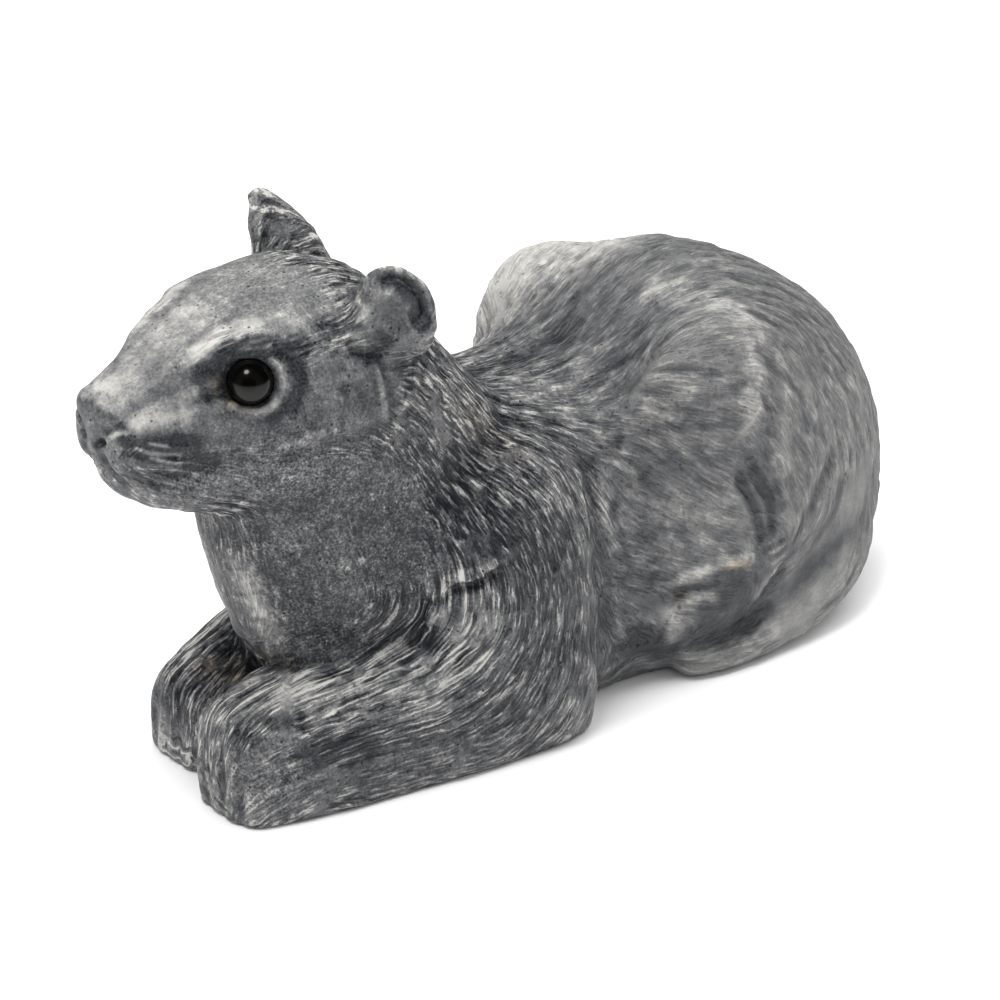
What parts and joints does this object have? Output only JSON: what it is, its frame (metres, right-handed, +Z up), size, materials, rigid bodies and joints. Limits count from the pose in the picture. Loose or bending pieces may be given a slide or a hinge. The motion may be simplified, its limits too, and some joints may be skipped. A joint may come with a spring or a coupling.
{
  "type": "mountain lion sculpture",
  "caption": "Reclining mountain lion in cast stone, head raised, with inset glass eyes and a flat underside to stand on.",
  "frame": {"origin": "under the middle of the figure's box, on the surface that it stands on", "axes": "the figure faces -Y, its left side is +X and +Z is up"},
  "size_m": [0.045, 0.125, 0.0678],
  "materials": {
    "cast_stone": "semi-matt, with a pale wash left in the carving",
    "eye_glass": "polished"
  },
  "bodies": {
    "root": {"lion": "cast_stone", "left_eye": "eye_glass", "right_eye": "eye_glass"}
  },
  "joints": []
}
